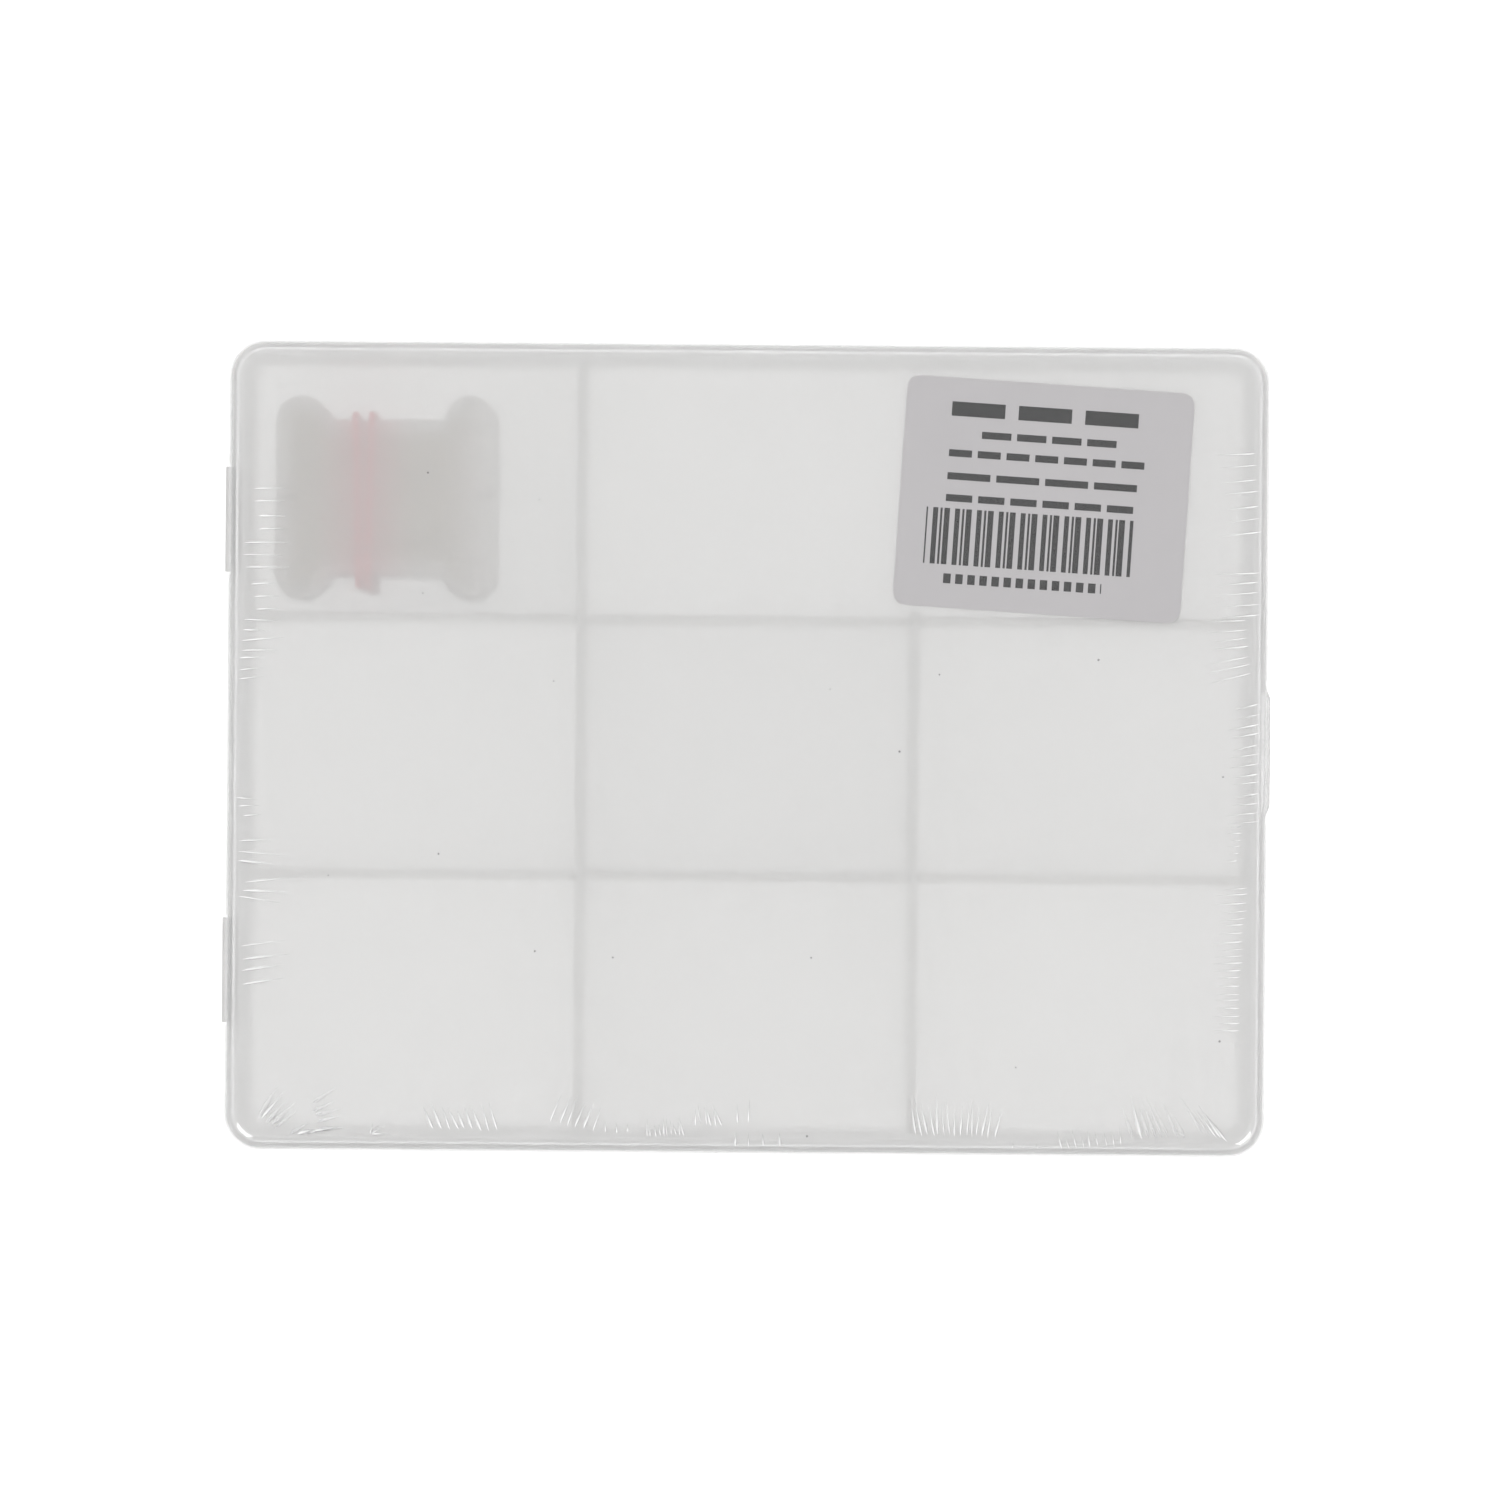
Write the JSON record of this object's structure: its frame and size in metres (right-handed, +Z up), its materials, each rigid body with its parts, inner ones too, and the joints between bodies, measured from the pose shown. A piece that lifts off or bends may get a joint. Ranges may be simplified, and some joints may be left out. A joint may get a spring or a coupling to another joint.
{
  "type": "embroidery thread box",
  "caption": "Flat frosted compartment box with a living-hinged lid, half-lapped divider plates, a banded stack of thread cards, a label and slit shrink film.",
  "frame": {"origin": "centre of the underside that the box rests on", "axes": "+X towards the thumb tab and -X towards the hinge, +Y towards the row that holds the thread cards, +Z up through the lid"},
  "size_m": [0.182, 0.1406, 0.0404],
  "materials": {
    "frosted_tray": "frosted natural polypropylene",
    "frosted_lid": "frosted natural polypropylene",
    "frosted_strap": "frosted natural polypropylene",
    "divider_plastic": "frosted natural polypropylene",
    "pasteboard": "matte uncoated board",
    "band_rubber": "satin",
    "label_paper": "satin coated paper",
    "shrink_film": "clear gloss film"
  },
  "bodies": {
    "base": {"base_tray": "frosted_tray", "hinge_strap_rear": "frosted_strap", "hinge_strap_front": "frosted_strap", "long_divider_rear": "divider_plastic", "long_divider_front": "divider_plastic", "cross_divider_left": "divider_plastic", "cross_divider_right": "divider_plastic", "thread_card_01": "pasteboard", "thread_card_02": "pasteboard", "thread_card_03": "pasteboard", "thread_card_04": "pasteboard", "thread_card_05": "pasteboard", "thread_card_06": "pasteboard", "thread_card_07": "pasteboard", "thread_card_08": "pasteboard", "thread_card_09": "pasteboard", "thread_card_10": "pasteboard", "thread_card_11": "pasteboard", "thread_card_12": "pasteboard", "thread_card_13": "pasteboard", "thread_card_14": "pasteboard", "thread_card_15": "pasteboard", "thread_card_16": "pasteboard", "thread_card_17": "pasteboard", "thread_card_18": "pasteboard", "thread_card_19": "pasteboard", "thread_card_20": "pasteboard", "thread_card_21": "pasteboard", "thread_card_22": "pasteboard", "thread_card_23": "pasteboard", "thread_card_24": "pasteboard", "thread_card_25": "pasteboard", "elastic_band": "band_rubber", "base_film": "shrink_film"},
    "lid": {"lid": "frosted_lid", "label": "label_paper", "lid_film": "shrink_film"}
  },
  "joints": [
    {"name": "lid_hinge", "type": "hinge", "parent": "base", "child": "lid", "pos_m": [-0.0906, 0, 0.03185], "axis": [0, -1, 0], "range_deg": [0, 180], "deforming": ["hinge_strap_rear", "hinge_strap_front"]}
  ]
}
